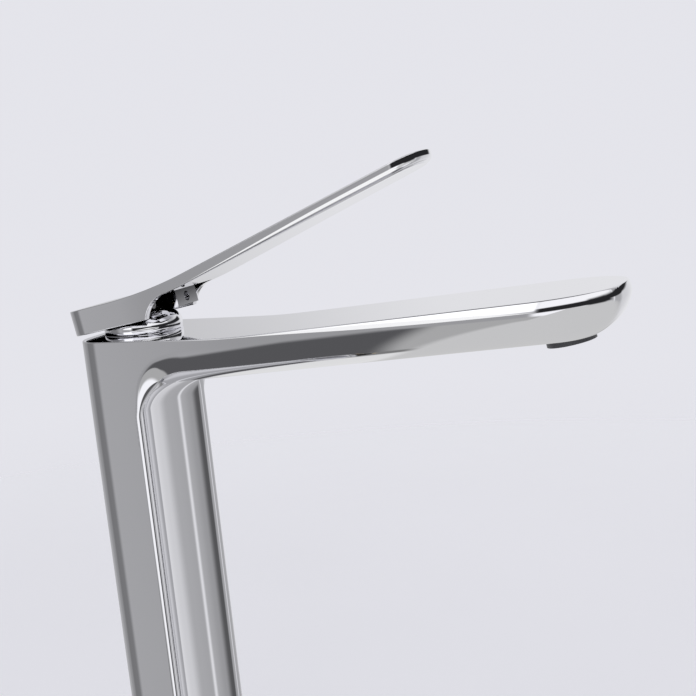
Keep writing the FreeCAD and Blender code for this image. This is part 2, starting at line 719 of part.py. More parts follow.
def handle():
    """A bent flat lever that grows out of a hollow cap, whose side walls sweep up into the lever's edge."""
    back, tip, bottom = -size("cap_back"), size("lever_tip") + size("overrun"), size("cap_bottom")
    thick, wall, half = size("lever_thick"), size("cap_wall"), size("cap_half_width")
    sweep_end = VECTOR(size("wall_front_top"), 0, lever_line(size("wall_front_top"), thick))
    sweep_start = VECTOR(size("wall_front"), 0, bottom)
    sweep_middle = VECTOR(size("wall_front_mid_u"), 0, size("wall_front_mid_w"))
    at = lambda u, depth: VECTOR(u, 0, lever_line(u, depth))
    side = lever_curves(back, tip, 0)
    side.append(Part.LineSegment(at(tip, 0), at(tip, thick)))
    side += lever_curves(sweep_end.x, tip, thick)
    side.append(Part.Arc(sweep_end, sweep_middle, sweep_start))
    side.append(Part.LineSegment(sweep_start, VECTOR(back, 0, bottom)))
    side.append(Part.LineSegment(VECTOR(back, 0, bottom), at(back, 0)))
    outer = across_slab(side, half + size("overrun")).common(handle_plan())
    hollow_back, hollow_front = back + wall, sweep_end.x + size("overrun")
    floor = bottom - size("overrun")
    hollow = ceiling_curves(hollow_back, hollow_front)
    corners = [VECTOR(hollow_front, 0, ceiling(hollow_front)), VECTOR(hollow_front, 0, floor),
               VECTOR(hollow_back, 0, floor), VECTOR(hollow_back, 0, ceiling(hollow_back))]
    hollow += [Part.LineSegment(a, b) for a, b in zip(corners, corners[1:])]
    cavity = across_slab(hollow, half - wall)
    corners = [e for e in cavity.Edges if abs(e.BoundBox.XMax - hollow_back) < size("fit_gap")
               and e.BoundBox.YLength < size("fit_gap")]
    cavity = cavity.makeFillet(size("cap_corner_r") - wall, corners)
    shell = outer.cut(cavity).removeSplitter()
    keep(raised(feature("handle_shell", shell)), "lever_handle")


def socket_solid():
    """A round socket on the stem, a bridge under the lever and a block in front, bored for stem and key."""
    front, back = size("socket_block_front"), size("socket_block_back")
    half = size("socket_half_width")
    radius, bottom = size("socket_r"), size("socket_bottom")
    tube = Part.makeCylinder(radius, ceiling(-radius) - bottom, UP * bottom)
    at = lambda u: VECTOR(u, 0, ceiling(u))
    low, bridge = size("socket_block_bottom"), size("socket_bridge_bottom")
    points = [at(front), VECTOR(front, 0, low), VECTOR(back, 0, low), VECTOR(back, 0, bridge),
              VECTOR(0, 0, bridge), at(0)]
    curves = ceiling_curves(0, front)
    curves += [Part.LineSegment(a, b) for a, b in zip(points, points[1:])]
    solid = tube.fuse(across_slab(curves, half)).removeSplitter()
    opening = size("stem_half") + size("free_gap")
    mouth = bottom - size("overrun")
    stem = Part.makeBox(opening * 2, opening * 2, size("stem_top") + size("free_gap") - mouth,
                        VECTOR(-opening, -opening, mouth))
    key = Part.makeCylinder(size("grub_r") + size("fit_gap"), front + size("overrun"),
                            UP * size("grub_height"), ALONG)
    return solid.cut(stem).cut(key)


def grub_solid():
    start = VECTOR(size("stem_half"), 0, size("grub_height"))
    screw = Part.makeCylinder(size("grub_r"), size("grub_length"), start, ALONG)
    mouth = start + ALONG * (size("grub_length") - size("grub_key_depth"))
    corners = [mouth + VECTOR(0, math.cos(a), math.sin(a)) * size("grub_key_r")
               for a in (math.pi / 3 * i for i in range(7))]
    key = Part.Face(Part.makePolygon(corners)).extrude(ALONG * (size("grub_key_depth") + size("overrun")))
    return screw.cut(key)


def spindle_solid():
    """A square stem on the pin, with a slim neck and a ball foot that moves the disc carrier."""
    half = size("stem_half")
    low = -size("stem_bottom")
    stem = Part.makeBox(half * 2, half * 2, size("stem_top") - low, VECTOR(-half, -half, low))
    rim = [e for e in stem.Edges if e.BoundBox.ZMin > size("stem_top") - size("fit_gap")]
    stem = stem.makeChamfer(half / 4, rim)
    neck = Part.makeCylinder(size("foot_neck_r"), size("foot_arm") + low, -UP * size("foot_arm"))
    ball = Part.makeSphere(size("foot_r"), -UP * size("foot_arm"))
    hole = Part.makeCylinder(size("pin_r") + size("fit_gap"), half * 2 + size("overrun") * 2,
                             -ACROSS * (half + size("overrun")), ACROSS)
    return stem.fuse([neck, ball]).cut(hole).removeSplitter()


def lever_pieces():
    handle()
    keep(raised(feature("socket", socket_solid())), "stem_socket")
    keep(raised(feature("grub", grub_solid())), "handle_set_screw")
    keep(raised(feature("spindle", spindle_solid())), "lever_spindle")


# The aerator, drawn about its own axis with Z up into the spout and Z = 0 at the spout's underside.
def honeycomb():
    """A disc pierced by a hexagonal grid of jets."""
    low = size("aerator_lip") - size("aerator_show")
    disc = Part.makeCylinder(size("aerator_bore_r") - size("fit_gap"), size("insert_thick"), UP * low)
    pitch = size("jet_pitch")
    ring_of_jets = [VECTOR(pitch * (i + j / 2), pitch * j * math.sqrt(3) / 2, low - size("overrun"))
                    for i in range(-2, 3) for j in range(-2, 3) if abs(i + j) <= 2]
    length = size("insert_thick") + size("overrun") * 2
    jets = [Part.makeCylinder(size("jet_r"), length, p) for p in ring_of_jets]
    return disc.cut(jets)


def aerator():
    show = "-aerator_show"
    keep(turned("aerator_shell", [
        ("aerator_lip_r", show), ("aerator_r", show), ("aerator_r", "aerator_depth"),
        ("aerator_bore_r", "aerator_depth"), ("aerator_bore_r", f"{show} + aerator_lip"),
        ("aerator_lip_r", f"{show} + aerator_lip")], "0", "0"), "aerator_housing")
    keep(feature("jet_disc", honeycomb()), "aerator_insert")
    seat = f"({show} + aerator_lip + insert_thick)"
    wall = "aerator_bore_r - fit_gap"
    keep(turned("screen_disc", [("0", seat), (wall, seat), (wall, f"{seat} + screen_thick"),
                                ("0", f"{seat} + screen_thick")], "0", "0"), "aerator_screen")
    keep(turned("seal_ring", [
        ("outlet_channel_r", "aerator_depth"), ("aerator_r", "aerator_depth"),
        ("aerator_r", "aerator_depth + aerator_seal_thick"),
        ("outlet_channel_r", "aerator_depth + aerator_seal_thick")], "0", "0"), "aerator_seal")
    doc.recompute()
    for solid in SUBPARTS[-4:]:
        put(solid, aerator_placement())


casting()
foot()
cartridge_stack()
bonnet()
rotor()
sliding_disc()
lever_pieces()
aerator()
doc.recompute()

for item in doc.Objects:
    if "Invalid" in item.State or "Error" in item.State:
        raise RuntimeError(f"{item.Name} failed: {item.State}")
for solid in SUBPARTS:
    if solid.Shape.isNull() or not solid.Shape.isValid() or not solid.Shape.Solids:
        raise RuntimeError(f"{solid.Label} has no valid solid")

os.makedirs("parts", exist_ok=True)
for solid in SUBPARTS:
    solid.Shape.exportStep(f"parts/{solid.Label}.step")
    print(f"{solid.Label}: {len(solid.Shape.Solids)} solid, {solid.Shape.Volume:.0f} cubic mm")
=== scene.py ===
# %% [markdown]
# # A tall basin faucet as smooth surfaces
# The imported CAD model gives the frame, the bodies and the joints. This lesson replaces the three chrome
# pieces that show most by surfaces computed in numpy, gives every other piece a procedural finish, and
# sets light, floor and camera. Lengths in the formulas are millimetres; meshes are written in metres.

# %% Setup
import json
import math
import bpy
import numpy as np
from mathutils import Matrix


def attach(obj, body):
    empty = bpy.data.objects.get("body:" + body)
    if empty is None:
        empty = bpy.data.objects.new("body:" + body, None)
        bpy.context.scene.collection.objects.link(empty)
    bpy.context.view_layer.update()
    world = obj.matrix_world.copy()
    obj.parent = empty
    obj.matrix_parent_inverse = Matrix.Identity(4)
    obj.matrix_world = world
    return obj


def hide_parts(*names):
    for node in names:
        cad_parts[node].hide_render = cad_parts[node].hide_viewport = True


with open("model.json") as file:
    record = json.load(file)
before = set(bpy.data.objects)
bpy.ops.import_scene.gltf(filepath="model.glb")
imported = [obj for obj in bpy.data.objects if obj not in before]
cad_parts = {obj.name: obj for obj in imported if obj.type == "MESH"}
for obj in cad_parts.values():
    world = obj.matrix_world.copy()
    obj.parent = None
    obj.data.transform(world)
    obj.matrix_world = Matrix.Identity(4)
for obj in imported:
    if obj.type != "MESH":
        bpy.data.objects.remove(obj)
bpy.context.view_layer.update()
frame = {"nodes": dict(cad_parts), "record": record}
MM = 0.001

# %% [markdown]
# ## From a grid to a mesh
# Polished chrome shows every dent, so it needs more than a mesh smoothed by eye. Subdivision could give
# soft shapes too, but here each surface is a grid of points from a formula, with rows and columns.
# Every cell of the grid becomes one face with four corners, and the last column meets the first.


# %% Writing a mesh
def grid_faces(rows, cols):
    """Corner numbers of a grid's faces, row by row: a point, its neighbour and the two in the next row."""
    r = np.arange(rows - 1)[:, None]
    c = np.arange(cols)[None, :]
    n = (c + 1) % cols
    corners = [r * cols + c, r * cols + n, (r + 1) * cols + n, (r + 1) * cols + c]
    return np.stack(corners, axis=-1).reshape(-1, 4)


def write_mesh(name, points, quads, triangles=None, normals=None, inside=None):
    """One smooth object from point and face arrays, stored as a list of corners and where each face starts.

    Exact normals are kept where they are known, and a share per point can mark the inside of a hollow.
    """
    triangles = np.zeros((0, 3), int) if triangles is None else triangles
    mesh = bpy.data.meshes.new(name)
    mesh.vertices.add(len(points))
    mesh.vertices.foreach_set("co", (points * MM).astype(np.float32).ravel())
    corners = np.concatenate([quads.ravel(), triangles.ravel()]).astype(np.int32)
    sizes = np.repeat([4, 3], [len(quads), len(triangles)])
    starts = (np.cumsum(sizes) - sizes).astype(np.int32)
    mesh.loops.add(len(corners))
    mesh.loops.foreach_set("vertex_index", corners)
    mesh.polygons.add(len(sizes))
    mesh.polygons.foreach_set("loop_start", starts)
    mesh.polygons.foreach_set("use_smooth", np.ones(len(sizes), bool))
    mesh.update(calc_edges=True)
    mesh.validate()
    if normals is not None:
        mesh.normals_split_custom_set_from_vertices(normals)
    if inside is not None:
        mesh.attributes.new("inside", "FLOAT", "POINT").data.foreach_set("value", inside.astype(np.float32))
    piece = bpy.data.objects.new(name, mesh)
    bpy.context.collection.objects.link(piece)
    print(f"{name}: {len(points)} points, {len(quads) * 2 + len(triangles)} triangles")
    return piece


print("faces between 3 rings of 8 points:", len(grid_faces(3, 8)))

# %% [markdown]
# ## Closing a surface
# A real casting has no seams and no open ends, and neither has its mesh. Grids pinch where many points
# fall on one place, such as the tip, so equal points are merged there instead of being hidden under a
# patch. The signed volume then tells whether the faces look outwards, which is surer than guessing from
# the order of the grid.

# %% Closing a surface
WELD_DIGITS = 4


def weld(points, quads, triangles):
    """Merge points that coincide; a quad that loses a corner becomes a triangle, and slivers are dropped.

    Returns the points' first places in the old list, and the faces in new numbers.
    """
    rounded = np.round(points, WELD_DIGITS)
    _, first, place = np.unique(rounded, axis=0, return_index=True, return_inverse=True)
    place = place.ravel()
    quads, triangles = place[quads], place[triangles]
    same = (quads == np.roll(quads, -1, axis=1)).any(axis=1)
    halves = np.concatenate([quads[same][:, [0, 1, 2]], quads[same][:, [0, 2, 3]], triangles])
    whole = (halves != np.roll(halves, -1, axis=1)).all(axis=1)
    return first, quads[~same], halves[whole]


def volume_inside(points, quads, triangles):
    """Signed volume of a closed mesh: each triangle spans a small pyramid with the origin."""
    flat = np.concatenate([quads[:, [0, 1, 2]], quads[:, [0, 2, 3]], triangles])
    a, b, c = (points[flat[:, i]] for i in range(3))
    return float((a * np.cross(b, c)).sum() / 6)


def surface(name, grid, caps=(False, False), normals=None, inside=None):
    """A grid of points as a welded object with its faces outwards; caps close the end rings with fans."""
    rows, cols = grid.shape[:2]
    points = grid.reshape(-1, 3)
    quads = grid_faces(rows, cols)
    fans = [np.zeros((0, 3), int)]
    for cap, row in zip(caps, (0, rows - 1)):
        if cap:
            ring = row * cols + np.arange(cols)
            fan = np.stack([np.full(cols, len(points)), ring, np.roll(ring, -1)], axis=-1)
            fans.append(fan[:, ::-1] if row == 0 else fan)
            points = np.concatenate([points, grid[row].mean(axis=0)[None]])
    first, quads, triangles = weld(points, quads, np.concatenate(fans))
    points = points[first]
    if volume_inside(points, quads, triangles) < 0:
        quads, triangles = quads[:, ::-1], triangles[:, ::-1]
    if normals is not None:
        normals = normals.reshape(-1, 3)[first]
    if inside is not None:
        inside = inside.ravel()[first]
    return write_mesh(name, points, quads, triangles, normals, inside)


pyramid = np.array([[0, 0, 0], [1, 0, 0], [0, 1, 0], [0, 0, 1.0]])
pyramid_faces = np.array([[0, 2, 1], [0, 1, 3], [0, 3, 2], [1, 2, 3]])
print("a corner pyramid holds", round(volume_inside(pyramid, np.zeros((0, 4), int), pyramid_faces), 4))

# %% [markdown]
# ## The casting from above
# Column and spout are one brass casting, ground and plated. It could be lofted from sections, but the
# edge that grows from a thin lip into a wide hull is hard to loft. So the metal is one function that is
# negative inside: half-spaces and circles, combined with round intersections and round unions that make
# the soft edges.

# %% The outline from above
BACK = 14.5
HALF = 27.0
FLARE_FROM, FLARE = -1.6, 0.00898
TIP = 208.7
NOSE_R = 62.0
BACK_EDGE, NOSE_EDGE = 12.9, 20.0


def meet(a, b, r):
    """Round intersection of two distances: the larger one, with an edge of radius r."""
    return np.minimum(np.maximum(a, b), -r) + np.hypot(np.maximum(a + r, 0), np.maximum(b + r, 0))


def join(a, b, r):
    """Round union of two distances: the smaller one, with a hollow blend of radius r."""
    return np.maximum(np.minimum(a, b), r) - np.hypot(np.maximum(r - a, 0), np.maximum(r - b, 0))


def plan_distance(x, y):
    """Distance to the outline from above: back, slightly flared sides and a blunt round tip."""
    side = np.abs(y) - HALF - (x - FLARE_FROM) * FLARE
    front = np.hypot(np.maximum(x - (TIP - NOSE_R), 0), y) - NOSE_R
    return meet(meet(side, -x - BACK, BACK_EDGE), front, NOSE_EDGE)


print("from the axis to the nearest side:", round(-float(plan_distance(0.0, 0.0)), 2), "mm")

# %% [markdown]
# ## The casting from the side
# The column's front and the spout's underside meet in a hollow corner. Their edge with the flat sides
# starts as a thin lip and grows round that corner into the boat-shaped hull. A fillet tool with a
# changing radius could do it on a solid; in the formula the radius simply depends on how far the corner
# has turned.

# %% The lines from the side
TOP = 250.0
LIP = 14.6
BEND, BEND_SOFT = 56.0, 8.0
RISE = math.tan(math.radians(4.37))
THICK = 17.3
CORNER = 12.0
TOP_SINK = 0.03
UNDER_COS = 0.997
LIP_EDGE, HULL_EDGE = 1.7, 15.0
EDGE_STARTS, EDGE_ENDS = 10.0, 115.0


def smooth_step(x, low, high):
    """0 below one limit and 1 above the other, with a cubic between them that starts and ends level."""
    t = np.clip((x - low) / (high - low), 0, 1)
    return t * t * (3 - 2 * t)


def top_height(x):
    """Height of the top face: level over the column, then rising, with a hyperbola for the bend."""
    past = x - BEND
    return TOP - TOP_SINK + RISE * 0.5 * (past + np.sqrt(past ** 2 + BEND_SOFT ** 2))


def inner_distance(x, z):
    """The column's front joined with the spout's underside, a height times the cosine of its slope."""
    under = TOP - THICK + (x - BEND) * RISE
    return join(x - LIP, (under - z) * UNDER_COS, CORNER)


def inner_round(x, z):
    """Radius of the edge between sides and inner face, by the angle round the hollow corner's middle."""
    corner_x = LIP + CORNER
    corner_z = TOP - THICK + (corner_x - BEND) * RISE - CORNER
    turned_by = np.degrees(np.arctan2(z - corner_z, corner_x - x))
    return LIP_EDGE + (HULL_EDGE - LIP_EDGE) * smooth_step(turned_by, EDGE_STARTS, EDGE_ENDS)


print("top of the spout's tip:", round(float(top_height(TIP)), 2), "mm")

# %% [markdown]
# ## The whole casting
# Two forms are left: the hollow front, which is part of an upright cylinder with a soft end at the top,
# and the shoulder, where the spout's sides lean in under a crisp top edge and catch a bright band. Both
# could be cut from a solid. As formulas they also give exact normals, by measuring how the function
# changes.

# %% The casting's formula
SHOULDER_FROM, SHOULDER_TO = 40.0, 185.0
SHOULDER_DEPTH, SHOULDER_GAIN = 0.2, 5.6
SHOULDER_LEAN = 0.25
HOLLOW_R, HOLLOW_X, HOLLOW_TOP = 40.0, 46.6, 229.84
HOLLOW_BLEND, HOLLOW_EDGE = 12.0, 1.2
TOP_COS, TOP_EDGE = 0.998, 0.5


def shoulder(x, z):
    """How far the spout's sides lean in under their top edge: a parabola, deeper towards the tip."""
    depth = SHOULDER_DEPTH + SHOULDER_GAIN * smooth_step(x, SHOULDER_FROM, SHOULDER_TO)
    share = np.clip((z - top_height(x) + depth) / depth, 0, 1)
    return SHOULDER_LEAN * depth * share ** 2


def casting(x, y, z):
    """Negative inside the metal: sides and inner face, less the hollow front, kept under the top face."""
    metal = meet(plan_distance(x, y) + shoulder(x, z), inner_distance(x, z), inner_round(x, z))
    hollow = join(HOLLOW_R - np.hypot(x - HOLLOW_X, y), HOLLOW_TOP - z, HOLLOW_BLEND)
    return meet(meet(metal, hollow, HOLLOW_EDGE), (z - top_height(x)) * TOP_COS, TOP_EDGE)


def slope_of(x, y, z, step=0.02):
    """Unit outward normals: the formula's differences over a small step, divided by their length."""
    n = np.stack([casting(x + step, y, z) - casting(x - step, y, z),
                  casting(x, y + step, z) - casting(x, y - step, z),
                  casting(x, y, z + step) - casting(x, y, z - step)], axis=-1)
    return n / np.linalg.norm(n, axis=-1, keepdims=True)


print("normal at the back:", np.round(slope_of(*np.array([-BACK, 0.0, 100.0])), 3))

# %% [markdown]
# ## Rows along a bent spine
# A casting like this is polished in long strokes up the column and out along the spout, and the mesh
# runs the same way. Cutting space into cubes and marching through them would leave ripples in the
# mirror. Instead, rows follow a spine up the column, round the corner and out along the spout. At the
# tip the rows lean forward.

# %% Rows along the spine
FOOT = 10.5
SPINE_X = -3.0
PIVOT_X, PIVOT_Z = 36.0, 206.0
NOSE_X = 186.0
NARROW_FROM = 140.0
BAR_WIDE, BAR_NARROW = 20.0, 8.7
# start, end and count of each run of rows: heights, degrees round the pivot, places in x, degrees of lean
UPRIGHT_RUNS = [(FOOT, 180.0, 12), (188.0, 204.0, 5)]
TURN_RUNS = [(0, 38, 26), (39, 50, 96), (51, 90, 30)]
ALONG_RUNS = [(37.5, 80, 22), (83, NOSE_X, 40)]
LEAN_RUNS = [(2, 90, 52)]


def spout_middle(x):
    """Height halfway through the spout's thickness: a straight line that rises with the spout."""
    return TOP - THICK / 2 + (x - BEND) * RISE


def spaced(runs):
    """Evenly spaced values of several runs, one run after the other."""
    return np.concatenate([np.linspace(*run) for run in runs])


def rows_of_rays():
    """Spine point, inward direction, half bar and forward lean of every row, from the foot to the tip.

    The spine is upright, then an arc round a pivot, then straight; rows crowd where the inner edge turns.
    """
    heights, along = spaced(UPRIGHT_RUNS), spaced(ALONG_RUNS)
    turn, lean = np.radians(spaced(TURN_RUNS)), np.radians(spaced(LEAN_RUNS))
    out = np.stack([-np.cos(turn), np.sin(turn)], -1)
    reach = np.interp(turn, [0, np.pi / 2], [PIVOT_X - SPINE_X, spout_middle(PIVOT_X) - PIVOT_Z])
    spine = np.concatenate([
        np.stack([np.full(len(heights), SPINE_X), heights], -1),
        np.array([PIVOT_X, PIVOT_Z]) + out * reach[:, None],
        np.stack([along, spout_middle(along)], -1),
        np.tile([NOSE_X, spout_middle(NOSE_X)], (len(lean), 1))])
    inward = np.concatenate([
        np.tile([1.0, 0.0], (len(heights), 1)),
        -out,
        np.tile([0.0, -1.0], (len(along) + len(lean), 1))])
    leans = np.concatenate([np.zeros(len(spine) - len(lean)), lean])
    bars = np.interp(spine[:, 0], [NARROW_FROM, NOSE_X], [BAR_WIDE, BAR_NARROW])
    return spine, inward, bars, leans


body_rows = rows_of_rays()
print("rows of rays:", len(body_rows[0]))

# %% [markdown]
# ## Rays across each row
# In each row, rays leave a short bar across the body: straight to the inner and outer faces along its
# length, and fanning out round its two ends. Even angles would step over the crisp edges and blur them
# in the mirror, so the angles crowd at the lip and at the outer edge, whose angle is searched for row
# by row.

# %% Rays from a bar
FAR_OUT, HALVINGS = 60.0, 30
SCAN_COUNT = 240
SPLIT_ANGLE = 10.0
EDGE_FACING = 0.75
LAST_LEAN = 1.1


def strike(start, way):
    """Distance along each ray to the surface, found by halving between the start and far outside."""
    near, far = np.zeros(start.shape[:-1]), np.full(start.shape[:-1], FAR_OUT)
    for _ in range(HALVINGS):
        middle = (near + far) / 2
        inside = casting(*np.moveaxis(start + way * middle[..., None], -1, 0)) < 0
        near, far = np.where(inside, middle, near), np.where(inside, far, middle)
    return near


def ray_starts(spine, bars, place):
    """Where the rays start: the spine's point, moved aside by a share of the half bar."""
    shape = (len(spine), len(place))
    return np.stack([np.broadcast_to(spine[:, :1], shape), bars[:, None] * place[None, :],
                     np.broadcast_to(spine[:, 1:], shape)], axis=-1)


def ray_ways(inward, across, inner, leans):
    """Where the rays go: shares across and inward, tilted forward along the spout by each row's lean."""
    flat, ahead = np.cos(leans)[:, None], np.sin(leans)[:, None]
    return np.stack([inward[:, :1] * inner * flat + ahead, across * flat,
                     inward[:, 1:] * inner * flat + ahead * RISE], axis=-1)


def edge_angles(spine, inward, bars, leans):
    """Angle of the outer edge in each row: where a scan of rays finds that the surface turns up or back.

    The place between two rays comes from how far each is from turning. Past a lean, the last angle stays.
    """
    scan = np.radians(np.linspace(SPLIT_ANGLE, 90.0, SCAN_COUNT))
    start = ray_starts(spine, bars, np.ones(SCAN_COUNT))
    way = ray_ways(inward, np.cos(scan), -np.sin(scan), leans)
    met = slope_of(*np.moveaxis(start + way * strike(start, way)[..., None], -1, 0))
    facing = np.maximum(met[..., 2], -met[..., 0]) - EDGE_FACING
    after = np.maximum(np.argmax(facing > 0, axis=1), 1)
    row = np.arange(len(after))
    rise = np.maximum(facing[row, after] - facing[row, after - 1], 1e-6)
    share = np.clip(-facing[row, after - 1] / rise, 0, 1)
    edge = np.degrees(scan[after - 1] + share * (scan[1] - scan[0]))
    return edge[np.minimum(row, np.argmax(leans > LAST_LEAN) - 1)]


body_edges = edge_angles(*body_rows)
print("angle of the outer edge:", round(body_edges.min(), 1), "to", round(body_edges.max(), 1), "degrees")

# %% [markdown]
# ## The casting's mesh
# The chrome body is the piece that everything else is screwed to. One closed grid holds it: the inner
# face, one end of the bar, the outer face, the other end, and so round again. A fan of triangles closes
# the foot, which stands on the base plate. The exact normals go with the points, so the mirror has no
# facets.

# %% Casting
FLAT_COUNT, LIP_COUNT, EDGE_COUNT = 40, 46, 60
LIP_ANGLE, LIP_WIDTH, EDGE_WIDTH = -72.0, 10.0, 2.5


def gathered(low, high, middle, width, count):
    """Angles from low to high that crowd round a middle: a hyperbolic sine of evenly spaced steps."""
    start, end = np.arcsinh((low - middle) / width), np.arcsinh((high - middle) / width)
    step = np.linspace(0, 1, count)
    return middle[:, None] + width * np.sinh(start[:, None] + (end - start)[:, None] * step)


def bar_rays(edge):
    """Place along the bar and direction of each column: inner face, one end, outer face, other end.

    A direction is the cosine and sine of an angle that crowds at the lip and at the outer edge.
    """
    rows = len(edge)
    flat = np.linspace(-1, 1, FLAT_COUNT)
    low = gathered(-90.0, SPLIT_ANGLE, np.full(rows, LIP_ANGLE), LIP_WIDTH, LIP_COUNT)
    high = gathered(SPLIT_ANGLE, 90.0, edge, EDGE_WIDTH, EDGE_COUNT)
    end = np.radians(np.concatenate([low[:, 1:], high[:, 1:-1]], axis=1))
    ones, still = np.ones(end.shape[1]), np.zeros((rows, FLAT_COUNT))
    place = np.concatenate([flat, ones, -flat, -ones])
    back = end[:, ::-1]
    across = np.concatenate([still, np.cos(end), still, -np.cos(back)], axis=1)
    inner = np.concatenate([still + 1, -np.sin(end), still - 1, -np.sin(back)], axis=1)
    return place, across, inner


def cast_body(spine, inward, bars, leans, edge):
    """Points and normals of the casting where the rays of all rows strike its surface."""
    place, across, inner = bar_rays(edge)
    start = ray_starts(spine, bars, place)
    way = ray_ways(inward, across, inner, leans)
    grid = start + way * strike(start, way)[..., None]
    return grid, slope_of(*np.moveaxis(grid, -1, 0))


body_grid, body_normals = cast_body(*body_rows, body_edges)
foot_normal = np.array([[0.0, 0.0, -1.0]])
body = surface("spout_body_smooth", body_grid, caps=(True, False),
               normals=np.concatenate([body_normals.reshape(-1, 3), foot_normal]))
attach(body, "faucet")
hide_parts("spout_body")

# %% [markdown]
# ## The lever's lines from the side
# A handle like this is a die casting: a cap over the cartridge, open in front, with a long flat lever.
# A box with moved corners would give its outline but not its slow upward bend, so its top line is a
# level run, an arc and a straight run. The numbers are in the lever's own frame, and a turn about the
# pivot raises it.

# %% The lever's lines
RAISE = math.radians(9.8)
PIVOT = np.array([4.5, 0.0, TOP + 1.5])
ROOF, LEVER = 2.6, 4.3
LEVEL_TOP, ARC_FROM, ARC_R = 14.0, -2.1, 200.0
LEVER_SLOPE = math.radians(11.7)
RAMP_FROM, RAMP_TO = 17.5, 28.0


def raised(points):
    """From the lever's own frame to its raised place: a turn about the pivot's cross axis."""
    u, v, w = np.moveaxis(points, -1, 0)
    return PIVOT + np.stack([u * math.cos(RAISE) - w * math.sin(RAISE), v,
                             u * math.sin(RAISE) + w * math.cos(RAISE)], axis=-1)


def lever_line(u, depth):
    """Height of the lever's top line less a depth: level, then an arc, then straight."""
    radius = ARC_R + depth
    run = radius * math.sin(LEVER_SLOPE)
    past = np.clip(u - ARC_FROM, 0, run)
    bent = LEVEL_TOP - depth + radius - np.sqrt(radius ** 2 - past ** 2)
    return bent + np.maximum(u - ARC_FROM - run, 0) * math.tan(LEVER_SLOPE)


def ceiling(u):
    """Height of the cap's ceiling: under a thin roof, then a ramp down to the lever's underside."""
    share = np.clip((u - RAMP_FROM) / (RAMP_TO - RAMP_FROM), 0, 1)
    high, low = lever_line(np.array(RAMP_FROM), ROOF), lever_line(np.array(RAMP_TO), LEVER)
    sloped = high * (1 - share) + low * share
    return np.where(u < RAMP_FROM, lever_line(u, ROOF), np.where(u < RAMP_TO, sloped, lever_line(u, LEVER)))


print("lever rises by", round(float(lever_line(140.0, 0.0) - lever_line(0.0, 0.0)), 1), "mm over 140 mm")

# %% [markdown]
# ## The lever's outline from above
# Seen from above the cap is a rounded block, and the lever narrows from it to a blunt tip. A spline
# through a few points would wobble along the straight sides. Here lines and arcs touch each other
# exactly, and only the place where the side starts to narrow is eased, because a mirror shows a sudden
# change of direction as a step.

# %% The lever's outline
CAP_BACK, CAP_HALF, CAP_CORNER = -24.0, 21.0, 10.0
WALL_FRONT = 15.6
LEVER_TIP, TIP_HALF, TIP_CORNER, TIP_FRONT = 141.3, 14.8, 11.0, 34.0
EASE = 10.0
CENTRE_BACK, CENTRE_FRONT = 17, 12
CROWD = 1.6
BACK_COUNT, CORNER_COUNT, CAP_COUNT = 30, 40, 50
SIDE_COUNT, BEND_COUNT, FRONT_COUNT = 150, 50, 30
TAPER_POINT = 9


def arc(centre, radius, start, end, count):
    """Points along a circle's arc, angles in degrees."""
    a = np.radians(np.linspace(start, end, count))
    return np.stack([centre[0] + radius * np.cos(a), centre[1] + radius * np.sin(a)], axis=-1)


def lever_nose(start):
    """A straight side from a start point, a round corner that it touches and half of a shallow arc."""
    aside = TIP_HALF - TIP_CORNER
    ahead = math.sqrt((TIP_FRONT - TIP_CORNER) ** 2 - aside ** 2)
    corner = np.array([LEVER_TIP - TIP_FRONT + ahead, aside])
    sweep = math.degrees(math.atan2(aside, corner[0] - LEVER_TIP + TIP_FRONT))
    between = corner - start
    flare = math.atan2(between[1], between[0]) + math.asin(TIP_CORNER / np.hypot(*between))
    touch = corner + TIP_CORNER * np.array([-math.sin(flare), math.cos(flare)])
    side = start + (touch - start) * np.linspace(0, 1, SIDE_COUNT)[:, None] ** CROWD
    bend = arc(corner, TIP_CORNER, 90 + math.degrees(flare), sweep, BEND_COUNT)
    front = arc((LEVER_TIP - TIP_FRONT, 0.0), TIP_FRONT, sweep, 0, FRONT_COUNT)
    return np.concatenate([side[1:], bend[1:], front[1:]])


def handle_outline():
    """Outline from above, its inward normals and the middle-line point that each place faces.

    One half runs from the back's middle to the tip and is mirrored; a parabola eases the bend in the side.
    """
    across = np.linspace(0, CAP_HALF - CAP_CORNER, BACK_COUNT, endpoint=False)
    along = np.linspace(CAP_BACK + CAP_CORNER, WALL_FRONT, CAP_COUNT)[1:]
    middle = np.stack([np.full_like(across, CAP_BACK), across], -1)
    rear = arc((CAP_BACK + CAP_CORNER, CAP_HALF - CAP_CORNER), CAP_CORNER, 180, 90, CORNER_COUNT)
    cap = np.stack([along, np.full_like(along, CAP_HALF)], -1)
    nose = lever_nose(np.array([WALL_FRONT, CAP_HALF]))
    far = np.concatenate([middle, rear, cap, nose])
    forward, aside = nose[TAPER_POINT] - nose[0]
    taper = aside / forward
    past = np.clip(far[:, 0] - WALL_FRONT, -EASE, EASE)
    far[:, 1] += taper * ((past + EASE) ** 2 / (4 * EASE) - np.maximum(past, 0))
    near = far[-2:0:-1] * [1, -1]
    outline = np.concatenate([far, near])
    tangent = np.roll(outline, -1, axis=0) - np.roll(outline, 1, axis=0)
    normal = np.stack([tangent[:, 1], -tangent[:, 0]], -1)
    normal /= np.linalg.norm(normal, axis=-1, keepdims=True)
    reached = np.clip(outline[:, 0], CAP_BACK + CENTRE_BACK, LEVER_TIP - CENTRE_FRONT)
    return outline, normal, np.stack([reached, np.zeros(len(outline))], -1)


handle_rows = handle_outline()
print("points round the handle:", len(handle_rows[0]))

# %% [markdown]
# ## The lever handle
# The cap is hollow and the lever is a plate, yet both are one skin. Building two shells and joining
# them would leave a seam in the mirror. So one grid goes once round the outline, and its columns run
# from the middle of the top, over the edge, down the side, round the lower edge, up inside the cap and
# back to the middle.

